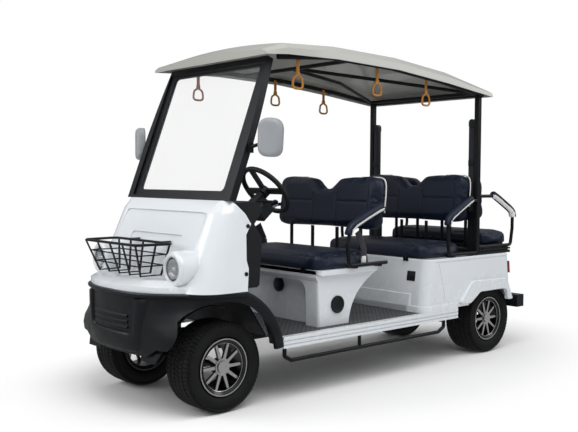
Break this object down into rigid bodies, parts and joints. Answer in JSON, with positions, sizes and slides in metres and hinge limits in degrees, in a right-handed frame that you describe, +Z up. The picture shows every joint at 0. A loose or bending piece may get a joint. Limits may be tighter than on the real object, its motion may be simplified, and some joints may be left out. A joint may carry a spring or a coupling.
{
  "type": "shuttle buggy",
  "caption": "Open-sided electric shuttle buggy with three bench rows, a raked windscreen, a moulded roof and a wire basket on the nose.",
  "frame": {"origin": "on the ground under the middle of the overall length and width", "axes": "+X forward, +Y to the vehicle's left, +Z up"},
  "size_m": [3.0115, 1.345, 1.919],
  "materials": {
    "white_body": "gloss",
    "black_plastic": "satin",
    "black_steel": "satin",
    "roof_skin": "satin",
    "floor_tread": "matt",
    "seat_vinyl": "satin",
    "clear_glass": "clear",
    "lamp_glass": "clear",
    "grey_shell": "satin",
    "red_lens": "gloss",
    "amber": "gloss",
    "steel": "brushed",
    "casting": "matt",
    "tyre": "matt",
    "alloy": "machined"
  },
  "bodies": {
    "chassis": {"arm_pads": "seat_vinyl", "arm_rails": "black_steel", "battery_block": "black_plastic", "belt_columns": "black_plastic", "chassis_frame": "black_steel", "dash_panel": "black_plastic", "drive_motor": "casting", "floor_plate": "floor_tread", "foot_pedals": "black_plastic", "front_axle": "black_steel", "front_basket": "black_steel", "front_bumper": "black_plastic", "front_cowl": "white_body", "front_seat_back": "seat_vinyl", "front_seat_base": "white_body", "headlamps": "lamp_glass", "leaf_springs": "black_steel", "middle_seat_back": "seat_vinyl", "mirror_arms": "black_steel", "mirror_shells": "grey_shell", "rear_axle": "casting", "rear_body": "white_body", "rear_bumper": "black_plastic", "rear_cushion": "seat_vinyl", "rear_seat_back": "seat_vinyl", "rear_tray": "black_plastic", "roof_frame": "black_steel", "roof_shell": "roof_skin", "seat_hinges": "steel", "seat_supports": "black_steel", "side_bars": "black_steel", "side_sills": "white_body", "steering_column": "black_plastic", "strap_handles": "amber", "tail_lamps": "red_lens", "windscreen_frame": "black_steel", "windscreen_glass": "clear_glass"},
    "steering_wheel": {"steering_wheel": "black_plastic"},
    "knuckle_left": {"knuckle_left": "black_steel"},
    "knuckle_right": {"knuckle_right": "black_steel"},
    "tie_rod": {"tie_rod": "black_steel"},
    "front_lid": {"front_seat_board": "black_plastic", "front_cushion": "seat_vinyl"},
    "middle_lid": {"middle_seat_board": "black_plastic", "middle_cushion": "seat_vinyl"},
    "wheel_front_left": {"tyre_front_left": "tyre", "rim_front_left": "alloy"},
    "wheel_front_right": {"tyre_front_right": "tyre", "rim_front_right": "alloy"},
    "wheel_rear_left": {"tyre_rear_left": "tyre", "rim_rear_left": "alloy"},
    "wheel_rear_right": {"tyre_rear_right": "tyre", "rim_rear_right": "alloy"}
  },
  "joints": [
    {"name": "steer_left", "type": "hinge", "parent": "chassis", "child": "knuckle_left", "pos_m": [1.1, 0.232, 0.2295], "axis": [0, 0, 1], "range_deg": [-28, 28]},
    {"name": "steer_right", "type": "hinge", "parent": "chassis", "child": "knuckle_right", "pos_m": [1.1, -0.232, 0.2295], "axis": [0, 0, 1], "range_deg": [-28.5, 28.5]},
    {"name": "tie_rod_pivot", "type": "hinge", "parent": "knuckle_left", "child": "tie_rod", "pos_m": [0.99, 0.232, 0.1795], "axis": [0, 0, 1], "range_deg": [-28.5, 28.5]},
    {"name": "steering_wheel_turn", "type": "hinge", "parent": "chassis", "child": "steering_wheel", "pos_m": [0.649, 0.22, 1.107], "axis": [-0.766, 0, 0.6428], "range_deg": [-450, 450]},
    {"name": "front_seat_lid", "type": "hinge", "parent": "chassis", "child": "front_lid", "pos_m": [0.449, 0, 0.673], "axis": [0, 1, 0], "range_deg": [0, 75]},
    {"name": "middle_seat_lid", "type": "hinge", "parent": "chassis", "child": "middle_lid", "pos_m": [-0.433, 0, 0.681], "axis": [0, 1, 0], "range_deg": [0, 75]},
    {"name": "wheel_spin_front_left", "type": "hinge", "parent": "knuckle_left", "child": "wheel_front_left", "pos_m": [1.1, 0.36, 0.2295], "axis": [0, 1, 0], "continuous": true},
    {"name": "wheel_spin_front_right", "type": "hinge", "parent": "knuckle_right", "child": "wheel_front_right", "pos_m": [1.1, -0.36, 0.2295], "axis": [0, 1, 0], "continuous": true},
    {"name": "wheel_spin_rear_left", "type": "hinge", "parent": "chassis", "child": "wheel_rear_left", "pos_m": [-1.14, 0.36, 0.2295], "axis": [0, 1, 0], "continuous": true},
    {"name": "wheel_spin_rear_right", "type": "hinge", "parent": "chassis", "child": "wheel_rear_right", "pos_m": [-1.14, -0.36, 0.2295], "axis": [0, 1, 0], "continuous": true}
  ],
  "couplings": [
    {"joint": "steer_right", "follows": "steer_left", "ratio": 1},
    {"joint": "tie_rod_pivot", "follows": "steer_left", "ratio": -1},
    {"joint": "steering_wheel_turn", "follows": "steer_left", "ratio": 16}
  ]
}
